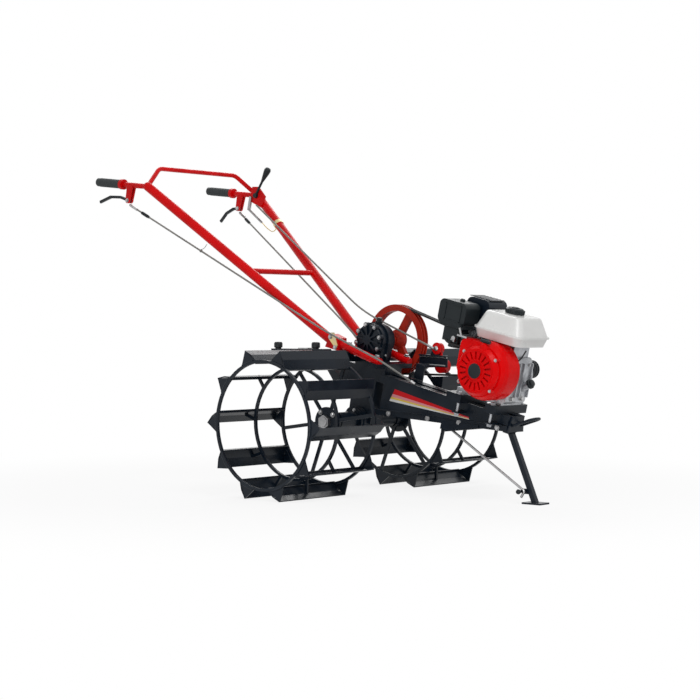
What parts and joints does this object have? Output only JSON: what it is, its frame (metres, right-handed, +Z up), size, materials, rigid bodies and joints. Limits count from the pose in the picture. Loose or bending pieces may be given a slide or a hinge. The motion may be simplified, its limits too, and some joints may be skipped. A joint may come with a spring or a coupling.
{
  "type": "two-wheel walking tractor",
  "caption": "Walking tractor on open cage wheels with folded lugs, long red handlebars, belt-driven gear case, small open petrol engine and a folding front stand.",
  "frame": {"origin": "on the floor, under the middle of the whole machine", "axes": "+X forward (towards the engine), +Y to the operator's left, +Z up"},
  "size_m": [1.9654, 1.079, 1.2632],
  "materials": {
    "black_paint": "satin",
    "red_paint": "gloss",
    "pulley_paint": "satin",
    "engine_red": "gloss",
    "tank_white": "gloss",
    "cast_metal": "satin",
    "steel": "satin",
    "black_plastic": "matte",
    "grip_rubber": "matte",
    "belt_rubber": "matte",
    "cable_sheath": "satin"
  },
  "bodies": {
    "chassis": {"gear_case": "black_paint", "axle_tube_right": "black_paint", "axle_tube_left": "black_paint", "input_housing": "black_paint", "belts": "belt_rubber", "belt_keeper": "black_paint", "tensioner": "red_paint", "end_plate": "black_paint", "rail_right": "black_paint", "rail_left": "black_paint", "case_cover": "black_paint", "side_plate_right": "black_paint", "side_plate_left": "black_paint", "lower_rail_right": "black_paint", "lower_rail_left": "black_paint", "front_frame": "black_paint", "front_bumper": "black_paint", "engine_mounts": "black_paint", "crankcase": "cast_metal", "cylinder": "cast_metal", "fan_cover": "engine_red", "recoil": "engine_red", "fuel_tank": "tank_white", "fuel_cap": "black_plastic", "air_cleaner": "black_plastic", "muffler": "black_paint", "carburettor": "black_plastic", "handle_right": "red_paint", "grip_right": "grip_rubber", "handle_left": "red_paint", "grip_left": "grip_rubber", "handle_bridge": "red_paint", "handle_cross": "red_paint", "handle_base": "black_paint", "handle_foot_right": "red_paint", "handle_foot_left": "red_paint", "handle_joint_right": "red_paint", "handle_joint_left": "red_paint", "hitch_bar": "black_paint", "hitch_screws": "black_paint", "lever_right": "black_plastic", "lever_clamp_right": "red_paint", "lever_left": "black_plastic", "lever_clamp_left": "red_paint", "clutch_quadrant": "red_paint", "clutch_lever": "black_plastic", "stay_rod": "black_paint", "cable_right": "cable_sheath", "cable_left": "cable_sheath", "cable_clutch": "cable_sheath"},
    "wheel_right": {"cage_right": "black_paint", "shaft_right": "steel"},
    "wheel_left": {"cage_left": "black_paint", "shaft_left": "steel"},
    "driven_pulley": {"driven_pulley": "pulley_paint"},
    "engine_pulley": {"engine_pulley": "black_paint"},
    "stand": {"stand_leg": "black_paint"},
    "stand_stay": {"stand_stay": "steel"}
  },
  "joints": [
    {"name": "wheel_right_spin", "type": "hinge", "parent": "chassis", "child": "wheel_right", "pos_m": [0.16372, 0, 0.26154], "axis": [0, 1, 0], "continuous": true},
    {"name": "wheel_left_spin", "type": "hinge", "parent": "chassis", "child": "wheel_left", "pos_m": [0.16372, 0, 0.26154], "axis": [0, 1, 0], "continuous": true},
    {"name": "driven_pulley_spin", "type": "hinge", "parent": "chassis", "child": "driven_pulley", "pos_m": [0.22564, 0, 0.55825], "axis": [0, 1, 0], "continuous": true},
    {"name": "engine_pulley_spin", "type": "hinge", "parent": "chassis", "child": "engine_pulley", "pos_m": [0.82848, 0, 0.45685], "axis": [0, 1, 0], "continuous": true},
    {"name": "stand_fold", "type": "hinge", "parent": "chassis", "child": "stand", "pos_m": [0.83566, 0, 0.25683], "axis": [0, 1, 0], "range_deg": [0, 75]},
    {"name": "stay_lift", "type": "hinge", "parent": "chassis", "child": "stand_stay", "pos_m": [0.58102, 0, 0.25332], "axis": [0, -1, 0], "range_deg": [0, 12]}
  ],
  "couplings": [
    {"joint": "engine_pulley_spin", "follows": "driven_pulley_spin", "ratio": 4.6364}
  ]
}
